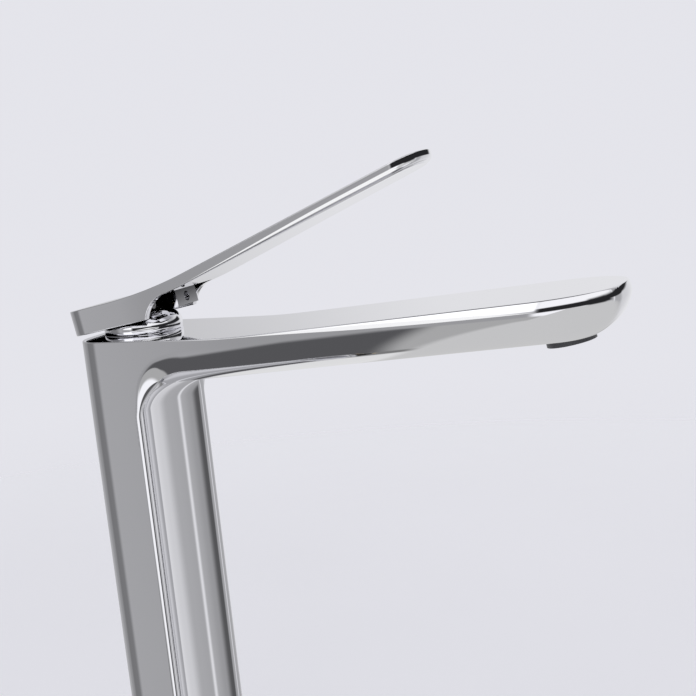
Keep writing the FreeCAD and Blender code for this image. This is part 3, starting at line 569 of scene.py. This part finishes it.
# %% Columns of the handle
EDGE, WALL, INNER_EDGE = 0.4, 3.0, 0.1
CAP_BOTTOM, WALL_TOP = 3.4, 27.0
SWEEP_U, SWEEP_W, SWEEP_R = 28.17, -1.73, 13.58
LOWER_EDGE, LOWER_GAIN = 0.5, 1.8
LOWER_FROM, LOWER_TO = 25.0, 110.0
DARK_UNTIL = 16.0
TOP_COLUMNS, ROUND_COLUMNS, WALL_COLUMNS, FLAT_COLUMNS = 26, 12, 8, 6


def skirt_bottom(u):
    """Lowest height of the wall: level round the cap, an arc up at its open front, then the underside."""
    under = lever_line(u, LEVER)
    swept = SWEEP_W + np.sqrt(np.maximum(SWEEP_R ** 2 - (u - SWEEP_U) ** 2, 0.0))
    return np.where(u < WALL_FRONT, CAP_BOTTOM, np.where(u < WALL_TOP, np.minimum(swept, under), under))


def handle_plan(outline, inwards, centre, lower, quarter):
    """Where each column lies from above: the outline moved in by a depth, or a mix with the middle line."""
    ones = np.ones((len(outline), 1))
    spread = 1 - (1 - np.linspace(0, 1, TOP_COLUMNS)[None, :]) ** CROWD

    def inset(depth):
        return outline[:, None, :] + inwards[:, None, :] * depth[..., None]

    def mixed(ring, share):
        return centre[:, None, :] * (1 - share[..., None]) + ring * share[..., None]

    top = mixed(inset(EDGE * ones), spread * ones)
    rim = inset(EDGE * (1 - np.sin(quarter)) * ones)
    side = inset(np.zeros((len(outline), WALL_COLUMNS)))
    turn = inset(lower * (1 - np.cos(quarter)) * ones)
    flat = inset(lower + (WALL - INNER_EDGE - lower) * np.linspace(0, 1, FLAT_COLUMNS)[None, :])
    inner = inset(WALL * np.ones((len(outline), WALL_COLUMNS)))
    roof = mixed(inset(WALL * ones), spread[:, ::-1] * ones)
    return top, rim, side, turn, flat, inner, roof


def handle_grid(outline, inwards, centre):
    """Points of all rows and columns, and a share that is 1 on the cap's inner walls and ceiling.

    Heights follow the top line, quarter circles at both edges, straight walls, and the ceiling.
    """
    u = outline[:, 0]
    lower = LOWER_EDGE + LOWER_GAIN * smooth_step(u, LOWER_FROM, LOWER_TO)[:, None]
    quarter = np.radians(np.linspace(0, 90, ROUND_COLUMNS))[None, :]
    rise = np.linspace(0, 1, WALL_COLUMNS)[None, :]
    columns = handle_plan(outline, inwards, centre, lower, quarter)
    top, rim, side, turn, flat, inner, roof = (column[..., 0] for column in columns)
    low = skirt_bottom(u)[:, None]
    skirt = np.maximum(ceiling(u)[:, None] - low, 0.0)
    under = lever_line(u, LEVER)[:, None]
    height = np.concatenate([
        lever_line(top, 0.0),
        lever_line(rim, 0.0) - EDGE * (1 - np.cos(quarter)),
        (lever_line(side[:, :1], 0.0) - EDGE) * (1 - rise) + (low + lower) * rise,
        low + lower * (1 - np.sin(quarter)) + np.zeros_like(turn),
        low + (lever_line(flat, LEVER) - under),
        low + (lever_line(inner, LEVER) - under) + skirt * rise,
        ceiling(roof),
    ], axis=1)
    plan = np.concatenate(columns, axis=1)
    hollow = np.zeros(height.shape)
    hollow[:, -(inner.shape[1] + roof.shape[1]) + 1:] = 1.0
    return np.concatenate([plan, height[..., None]], axis=-1), hollow * (plan[..., 0] < DARK_UNTIL)


handle_points, handle_hollow = (np.swapaxes(part, 0, 1) for part in handle_grid(*handle_rows))
handle = surface("lever_handle_smooth", raised(handle_points), inside=handle_hollow)
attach(handle, "lever")
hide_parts("lever_handle")

# %% [markdown]
# ## The dome bonnet
# A domed collar hides the ring nut that holds the cartridge. On a lathe it would be one profile turned
# about an axis, and that is how it is made here: pairs of radius and height, with a quarter circle for
# the dome, spun in even steps. Blender's spin tool would do the same, but can turn a shape inside out.

# %% Dome bonnet
DOME_COUNT, DOME_ARC_COUNT = 160, 40
DOME_FOOT, DOME_SKIRT, DOME_BORE = 0.02, 16.4, 14.3
DOME_ROUND, ROUND_R, ROUND_Z = 6.4, 10.1, 2.1
HOLE_R, HOLE_EDGE = 9.8, 0.1
DOME_TOP = ROUND_Z + DOME_ROUND
dome_profile = np.concatenate([
    [[DOME_BORE, DOME_FOOT], [DOME_SKIRT, DOME_FOOT]],                          # just over the column's top
    arc((ROUND_R, ROUND_Z), DOME_ROUND, 0, 90, DOME_ARC_COUNT),                 # dome
    [[HOLE_R + HOLE_EDGE, DOME_TOP], [HOLE_R, DOME_TOP - HOLE_EDGE]],           # edge of the rotor's hole
    [[HOLE_R, 6.9], [11.9, 6.8], [DOME_BORE, 3.1], [DOME_BORE, DOME_FOOT]]])    # inside, back to the foot


def turned(name, profile, axis_x, base_z):
    """A profile of radius and height spun about an upright axis: cosine and sine of even angles."""
    angle = np.linspace(0, 2 * np.pi, DOME_COUNT, endpoint=False)
    radius, height = profile.T
    grid = np.stack([axis_x + radius[:, None] * np.cos(angle), radius[:, None] * np.sin(angle),
                     np.repeat(base_z + height[:, None], DOME_COUNT, axis=1)], axis=-1)
    return surface(name, grid)


dome = turned("dome_bonnet_smooth", dome_profile, PIVOT[0], TOP)
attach(dome, "faucet")
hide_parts("dome_bonnet")

# %% [markdown]
# ## Finishes
# Plated, moulded, lapped and turned surfaces differ in how gloss and tone wander over them. Image
# textures could show that, but a noise on object coordinates needs no files and has no seams. Chrome
# gets only a trace of it, plastics and rubber a fine grain, and brass and steel marks that are squeezed
# into rings as by a lathe tool.

# %% Finishes
WANDER = 0.2
BUMP_DEPTH = 0.0002
NOISE_DETAIL = 6
LATHE_MARKS = (1, 1, 12)


def finish(name, color, metallic, rough, grain, bump, spread=0.04, stretch=(1, 1, 1)):
    """A metal or plastic whose colour and roughness wander a little with noise, plus a fine bump."""
    made = bpy.data.materials.new(name)
    made.use_nodes = True
    nodes, links = made.node_tree.nodes, made.node_tree.links
    shader = nodes["Principled BSDF"]
    coords = nodes.new("ShaderNodeTexCoord")
    scale = nodes.new("ShaderNodeMapping")
    scale.inputs["Scale"].default_value = stretch
    noise = nodes.new("ShaderNodeTexNoise")
    noise.inputs["Scale"].default_value = grain
    noise.inputs["Detail"].default_value = NOISE_DETAIL
    links.new(coords.outputs["Object"], scale.inputs["Vector"])
    links.new(scale.outputs["Vector"], noise.inputs["Vector"])
    tone = nodes.new("ShaderNodeValToRGB")
    tone.color_ramp.elements[0].color = (*[c * (1 - spread) for c in color], 1)
    tone.color_ramp.elements[1].color = (*[min(1, c * (1 + spread)) for c in color], 1)
    links.new(noise.outputs["Fac"], tone.inputs["Fac"])
    links.new(tone.outputs["Color"], shader.inputs["Base Color"])
    gloss = nodes.new("ShaderNodeMapRange")
    gloss.inputs["To Min"].default_value = rough * (1 - WANDER)
    gloss.inputs["To Max"].default_value = rough * (1 + WANDER)
    links.new(noise.outputs["Fac"], gloss.inputs["Value"])
    links.new(gloss.outputs["Result"], shader.inputs["Roughness"])
    relief = nodes.new("ShaderNodeBump")
    relief.inputs["Strength"].default_value = bump
    relief.inputs["Distance"].default_value = BUMP_DEPTH
    links.new(noise.outputs["Fac"], relief.inputs["Height"])
    links.new(relief.outputs["Normal"], shader.inputs["Normal"])
    shader.inputs["Metallic"].default_value = metallic
    return made


FINISHES = {
    "chrome_cast": finish("chrome_cast", (0.90, 0.90, 0.92), 1.0, 0.035, 60, 0.0, 0.01),
    "chrome_lever": finish("chrome_lever", (0.90, 0.90, 0.92), 1.0, 0.035, 60, 0.0, 0.01),
    "grey_plastic": finish("grey_plastic", (0.06, 0.06, 0.065), 0.0, 0.38, 900, 0.06),
    "pale_plastic": finish("pale_plastic", (0.62, 0.63, 0.64), 0.0, 0.45, 700, 0.05),
    "ceramic": finish("ceramic", (0.82, 0.8, 0.76), 0.0, 0.15, 400, 0.01),
    "rubber_black": finish("rubber_black", (0.02, 0.02, 0.02), 0.0, 0.6, 1200, 0.1),
    "brass_bare": finish("brass_bare", (0.66, 0.47, 0.2), 1.0, 0.26, 300, 0.05, 0.08, LATHE_MARKS),
    "steel_plain": finish("steel_plain", (0.56, 0.56, 0.57), 1.0, 0.28, 300, 0.05, 0.06, LATHE_MARKS),
}
print("finishes:", len(FINISHES))

# %% [markdown]
# ## The dark inside of the cap
# Hardly any light gets into the cap, and its inside looks nearly black. Even light from all round would
# brighten it too much, and a second material would need a border between faces. The grid already
# carries a share per point that says what is inside, and that share mixes the plated tone with a dark
# one.

# %% Inside of the cap, and handing out the finishes
CAP_DARK = (0.015, 0.015, 0.017, 1)


def blend(tree, share, first, second):
    """Mix two colours by a share from 0 to 1; a colour is four numbers or another node's output."""
    node = tree.nodes.new("ShaderNodeMix")
    node.data_type = "RGBA"
    tree.links.new(share, node.inputs["Factor"])
    # the colour form of this node has its two colours at places 6 and 7 and its result at 2
    for socket, value in zip((node.inputs[6], node.inputs[7]), (first, second)):
        if isinstance(value, tuple):
            socket.default_value = value
        else:
            tree.links.new(value, socket)
    return node.outputs[2]


lever_tree = FINISHES["chrome_lever"].node_tree
lever_color = lever_tree.nodes["Principled BSDF"].inputs["Base Color"]
plated = lever_color.links[0].from_socket
mark = lever_tree.nodes.new("ShaderNodeAttribute")
mark.attribute_name = "inside"
lever_tree.links.new(blend(lever_tree, mark.outputs["Fac"], plated, CAP_DARK), lever_color)

slot_of = {s["node"]: s["material_slot"] for s in frame["record"]["subparts"]}
for piece in (body, dome):
    piece.data.materials.append(FINISHES["chrome_cast"])
handle.data.materials.append(FINISHES["chrome_lever"])
for node, shown in frame["nodes"].items():
    shown.data.materials.clear()
    shown.data.materials.append(FINISHES[slot_of[node]])
print("points inside the cap:", int(handle_hollow.sum()), "nodes with a finish:", len(slot_of))

# %% [markdown]
# ## Even light
# Plain soft studio light comes from all round, as in a white tent. Lamps with soft shadows would do as
# well, but each would show as a bright shape in the chrome. So the world gives one even pale light, and
# what the chrome mirrors is set apart from it, in the next steps.

# %% Even light
world = bpy.data.worlds.new("room")
bpy.context.scene.world = world
world.use_nodes = True
sky = world.node_tree.nodes["Background"]
sky.inputs["Color"].default_value = (0.78, 0.78, 0.83, 1)
sky.inputs["Strength"].default_value = 1.0
bpy.context.scene.view_settings.view_transform = "Standard"
print("light from all round:", [round(v, 2) for v in sky.inputs["Color"].default_value])

# %% [markdown]
# ## A far shell for reflections
# A photographer places white and black boards round chrome, so that its faces stand out from each
# other. Many boards could be modelled, but each has a place and a parallax. A far shell that only
# mirrors see does it by direction alone: a bright or dark tone for each direction from which a face
# gets its reflection.

# %% Reflection shell
SHELL_R = 4000.0
SHELL_CENTRE = [100.0, 0.0, 250.0]
SHELL_STEPS, SHELL_COLUMNS = 49, 96
lean = np.linspace(0.0, np.pi, SHELL_STEPS)[1:-1, None]
spin = np.linspace(0.0, 2 * np.pi, SHELL_COLUMNS, endpoint=False)[None, :]
shell_ways = np.stack([np.sin(lean) * np.cos(spin), np.sin(lean) * np.sin(spin),
                       np.cos(lean) + 0 * spin], axis=-1)
shell = surface("reflection_shell", SHELL_R * shell_ways + SHELL_CENTRE, caps=(True, True))

# %% [markdown]
# ## Tones round the horizon
# Upright faces, such as the column's sides and its hollow front, mirror what stands round the horizon.
# One long ramp of greys by compass angle gives each of them its tone. It could be painted as an image,
# but a ramp with a few stops stays smooth at any size. The stops were set by trying which direction
# shows on which face.

# %% Tones round the horizon
BLUE_TINT = 1.03


def math_node(tree, kind, *values):
    """A maths node fed with numbers or other nodes' outputs; returns its output."""
    node = tree.nodes.new("ShaderNodeMath")
    node.operation = kind
    for socket, value in zip(node.inputs, values):
        if isinstance(value, (int, float)):
            socket.default_value = value
        else:
            tree.links.new(value, socket)
    return node.outputs["Value"]


def ramp(tree, value, stops):
    """Smooth greys, a trace blue, along a value from 0 to 1; each stop is a place and a grey."""
    node = tree.nodes.new("ShaderNodeValToRGB")
    node.color_ramp.interpolation = "EASE"
    while len(node.color_ramp.elements) < len(stops):
        node.color_ramp.elements.new(0.5)
    for element, (place, tone) in zip(node.color_ramp.elements, stops):
        element.position = place
        element.color = (tone, tone, tone * BLUE_TINT, 1)
    tree.links.new(value, node.inputs["Fac"])
    return node.outputs["Color"]


# angle in degrees, from -y towards -x, and the grey that shows there
AROUND = [(-180, 0.8), (-150, 0.65), (-130, 0.42), (-113, 0.4), (-109, 0.8), (-105, 0.42), (-92, 0.34),
          (-84, 0.1), (-60, 0.1), (-52, 1.0), (0, 1.0), (13, 0.35), (28, 0.33), (38, 0.4), (56, 0.2),
          (76, 0.19), (90, 0.3), (117, 0.43), (146, 0.58), (164, 0.78), (180, 0.8)]
tones = bpy.data.materials.new("reflection_tones")
tones.use_nodes = True
room = tones.node_tree
room.nodes.remove(room.nodes["Principled BSDF"])
way = room.nodes.new("ShaderNodeTexCoord")
unit = room.nodes.new("ShaderNodeVectorMath")
unit.operation = "NORMALIZE"
parts = room.nodes.new("ShaderNodeSeparateXYZ")
room.links.new(way.outputs["Object"], unit.inputs[0])
room.links.new(unit.outputs["Vector"], parts.inputs["Vector"])
toward_x, toward_y, toward_z = (parts.outputs[axis] for axis in "XYZ")
compass = math_node(room, "ARCTAN2", math_node(room, "MULTIPLY", toward_x, -1.0),
                    math_node(room, "MULTIPLY", toward_y, -1.0))
round_share = math_node(room, "ADD", math_node(room, "MULTIPLY", compass, 0.5 / math.pi), 0.5)
tone = ramp(room, round_share, [((angle + 180) / 360, level) for angle, level in AROUND])
print("stops round the horizon:", len(AROUND))

# %% [markdown]
# ## Boards above and below the horizon
# Faces that lean mirror what is higher or lower: the spout's shoulder shows a light band over a dark
# line, and its hull a dark ground. Each board is a soft-edged patch of directions, the product of spans
# in compass share and height, mixed over the tones so far. Real boards would need the same shapes, cut
# from card.


# %% Boards above and below
def span(tree, value, low, high, soft):
    """1 where a value lies between two limits, falling softly to 0 outside."""
    rise = tree.nodes.new("ShaderNodeMapRange")
    fall = tree.nodes.new("ShaderNodeMapRange")
    for node, start, end in ((rise, low - soft, low + soft), (fall, high + soft, high - soft)):
        node.interpolation_type = "SMOOTHSTEP"
        node.inputs["From Min"].default_value = start
        node.inputs["From Max"].default_value = end
        tree.links.new(value, node.inputs["Value"])
    return math_node(tree, "MULTIPLY", rise.outputs["Result"], fall.outputs["Result"])


def patch(*limits):
    """1 inside a patch of directions: the product of spans, each a value with two limits and a softness."""
    shown = span(room, *limits[0])
    for limit in limits[1:]:
        shown = math_node(room, "MULTIPLY", shown, span(room, *limit))
    return shown


def grey(level, blue=0.0):
    """A grey as four numbers, with a little blue added."""
    return (level, level, level + blue, 1)


high_light = patch((round_share, 0.2, 0.4, 0.02), (toward_z, 0.4, 2.0, 0.05))
tone = blend(room, high_light, tone, grey(1.0, 0.02))
near_strip = patch((round_share, 0.22, 0.515, 0.02), (toward_z, 0.0, 0.36, 0.04))
far_strip = patch((round_share, 0.03, 0.26, 0.015), (toward_z, 0.12, 0.36, 0.03))
tone = blend(room, math_node(room, "MAXIMUM", near_strip, far_strip), tone, grey(0.02, 0.002))

# the dark ground dips where it lies far behind the column
DIP_FROM, DIP_SLOPE = 0.44, 2.2
far_left = math_node(room, "MINIMUM", math_node(room, "ADD", toward_x, DIP_FROM), 0.0)
dip = math_node(room, "MULTIPLY", far_left, DIP_SLOPE)
sunk = math_node(room, "SUBTRACT", toward_z, dip)
ground = patch((sunk, -3.0, -0.30, 0.09), (toward_x, -2.0, 0.1, 0.1))
ground_tone = blend(room, patch((toward_x, -0.31, 2.0, 0.02)), grey(0.095, 0.005), grey(0.42))
ground_tone = blend(room, patch((toward_y, 0.03, 0.2, 0.05)), ground_tone, grey(0.2))
far_ground = blend(room, patch((toward_x, -0.2, 2.0, 0.06)), grey(0.78), grey(0.22))
ground_tone = blend(room, patch((toward_y, 0.22, 2.0, 0.05)), ground_tone, far_ground)
tone = blend(room, ground, tone, ground_tone)

overhead = patch((toward_z, 0.22, 0.86, 0.1), (toward_x, -0.49, -0.08, 0.05), (toward_y, -2.0, 0.3, 0.1))
tone = blend(room, overhead, tone, grey(1.3, 0.02))
tone = blend(room, patch((toward_z, 0.9, 2.0, 0.03)), tone, grey(0.16, 0.01))
glow = room.nodes.new("ShaderNodeEmission")
room.links.new(tone, glow.inputs["Color"])
room.links.new(glow.outputs["Emission"], room.nodes["Material Output"].inputs["Surface"])
shell.data.materials.append(tones)
print("nodes in the reflection tones:", len(room.nodes))

# %% [markdown]
# ## Two cards close by
# On a flat face the reflection of something far away changes only slowly, so the shell can't put a
# crisp border there. Two level cards near the part can: one under the spout makes the pale wedge on its
# hull, one under the lever makes the light line along its lower edge. They fade out at their far edges,
# so that other views show no hard outline.


# %% Cards close by
def level_sheet(name, x_range, y_range, z):
    """A level rectangle: the four corners of two ranges at one height."""
    (x0, x1), (y0, y1) = x_range, y_range
    corners = np.array([[x0, y0, z], [x1, y0, z], [x1, y1, z], [x0, y1, z]], float)
    return write_mesh(name, corners, np.array([[0, 1, 2, 3]]))


def mix_shaders(tree, share, first, second):
    """Mix two shaders by a share from 0 to 1 and send them to the material's output."""
    node = tree.nodes.new("ShaderNodeMixShader")
    for socket, value in zip(node.inputs, (share, first, second)):
        tree.links.new(value, socket)
    tree.links.new(node.outputs["Shader"], tree.nodes["Material Output"].inputs["Surface"])


def glow_card(name, x_range, y_range, z, level, soft, fade_x, fade_y, slant):
    """A glowing sheet, crisp along its edge towards the column and fading out at the others.

    The crisp edge is where x plus a slant times y reaches the lower x.
    """
    (x0, x1), (y0, y1) = x_range, y_range
    sheet = level_sheet(name, (x0 - slant * max(y1, 0.0), x1), y_range, z)
    made = bpy.data.materials.new(name)
    made.use_nodes = True
    tree = made.node_tree
    tree.nodes.remove(tree.nodes["Principled BSDF"])
    place = tree.nodes.new("ShaderNodeTexCoord")
    axes = tree.nodes.new("ShaderNodeSeparateXYZ")
    tree.links.new(place.outputs["Object"], axes.inputs["Vector"])
    gleam = tree.nodes.new("ShaderNodeEmission")
    gleam.inputs["Color"].default_value = grey(level)
    nothing = tree.nodes.new("ShaderNodeBsdfTransparent")
    x, y = axes.outputs["X"], axes.outputs["Y"]
    askew = math_node(tree, "ADD", x, math_node(tree, "MULTIPLY", y, slant))
    shown = span(tree, askew, (x0 + soft) * MM, 2 * x1 * MM, soft * MM)
    ends = ((x, x0 - fade_x, x1 - fade_x, fade_x), (y, y0 + fade_y, y1 - fade_y, fade_y))
    for value, low, high, fade in ends:
        shown = math_node(tree, "MULTIPLY", shown, span(tree, value, low * MM, high * MM, fade * MM))
    mix_shaders(tree, shown, nothing.outputs["BSDF"], gleam.outputs["Emission"])
    sheet.data.materials.append(made)
    return sheet


under_spout = glow_card("spout_card", x_range=(106.0, 700.0), y_range=(-600.0, 100.0), z=216.0, level=0.6,
                        soft=5.0, fade_x=150.0, fade_y=40.0, slant=0.67)
under_lever = glow_card("lever_card", x_range=(34.0, 175.0), y_range=(-400.0, -33.0), z=258.0, level=1.0,
                        soft=4.0, fade_x=10.0, fade_y=2.0, slant=0.0)
for unseen in (shell, under_spout, under_lever):
    unseen.visible_camera = False
    unseen.visible_diffuse = False
    unseen.visible_shadow = False
    unseen.visible_transmission = False

# %% [markdown]
# ## The floor
# A pale floor just under the lowest piece catches a soft shadow. A plane with an edge would cut across
# the view, and a bent backdrop would stand in the way of views from behind. So the plane turns
# see-through with distance, and the even light behind it takes over. Mirrors don't see it, because the
# shell gives them their ground.

# %% Floor
FLOOR_Z, FLOOR_HALF = -52.5, 1500.0
FADE_FROM, FADE_TO = 0.3, 1.4
floor = level_sheet("floor", (-FLOOR_HALF, FLOOR_HALF), (-FLOOR_HALF, FLOOR_HALF), FLOOR_Z)
pale = finish("floor_pale", (0.94, 0.94, 0.95), 0.0, 0.6, 3, 0.0, 0.02)
pale_tree = pale.node_tree
floor_place = pale_tree.nodes.new("ShaderNodeTexCoord")
length = pale_tree.nodes.new("ShaderNodeVectorMath")
length.operation = "LENGTH"
pale_tree.links.new(floor_place.outputs["Object"], length.inputs[0])
fading = pale_tree.nodes.new("ShaderNodeMapRange")
fading.interpolation_type = "SMOOTHSTEP"
fading.inputs["From Min"].default_value = FADE_FROM
fading.inputs["From Max"].default_value = FADE_TO
pale_tree.links.new(length.outputs["Value"], fading.inputs["Value"])
clear = pale_tree.nodes.new("ShaderNodeBsdfTransparent")
mix_shaders(pale_tree, fading.outputs["Result"], pale_tree.nodes["Principled BSDF"].outputs["BSDF"],
            clear.outputs["BSDF"])
floor.data.materials.append(pale)
floor.visible_glossy = False

# %% [markdown]
# ## The camera
# The photograph was taken from the side and a little above, with the camera rolled. Its place could be
# found by eye, but fitting a few points of the model to the picture gives the angles and the distance
# together. The camera looks at a target from a compass angle and a height angle, and then rolls about
# its own line of sight.

# %% Camera
TARGET = np.array([0.09753, 0.0, 0.24001])
AZIMUTH, ELEVATION, ROLL = math.radians(23.87), math.radians(9.74), math.radians(5.81)
DISTANCE = 0.47324
SENSOR, FOCAL_PIXELS, IMAGE_PIXELS = 36.0, 1200.0, 696.0
backward = np.array([math.sin(AZIMUTH) * math.cos(ELEVATION), -math.cos(AZIMUTH) * math.cos(ELEVATION),
                     math.sin(ELEVATION)])
right = np.cross(-backward, [0, 0, 1.0])
right /= np.linalg.norm(right)
upward = np.cross(right, -backward)
right_rolled = math.cos(ROLL) * right - math.sin(ROLL) * upward
up_rolled = math.cos(ROLL) * upward + math.sin(ROLL) * right
eye = TARGET + backward * DISTANCE
lens = bpy.data.cameras.new("camera")
lens.sensor_width = SENSOR
lens.lens = SENSOR * FOCAL_PIXELS / IMAGE_PIXELS
lens.clip_start = 0.01
camera = bpy.data.objects.new("camera", lens)
axes_and_eye = np.stack([right_rolled, up_rolled, backward, eye], axis=-1)
camera.matrix_world = Matrix([*axes_and_eye.tolist(), [0, 0, 0, 1]])
bpy.context.collection.objects.link(camera)
bpy.context.scene.camera = camera
print("camera at", np.round(eye, 3), "focal length", round(lens.lens, 2), "mm")
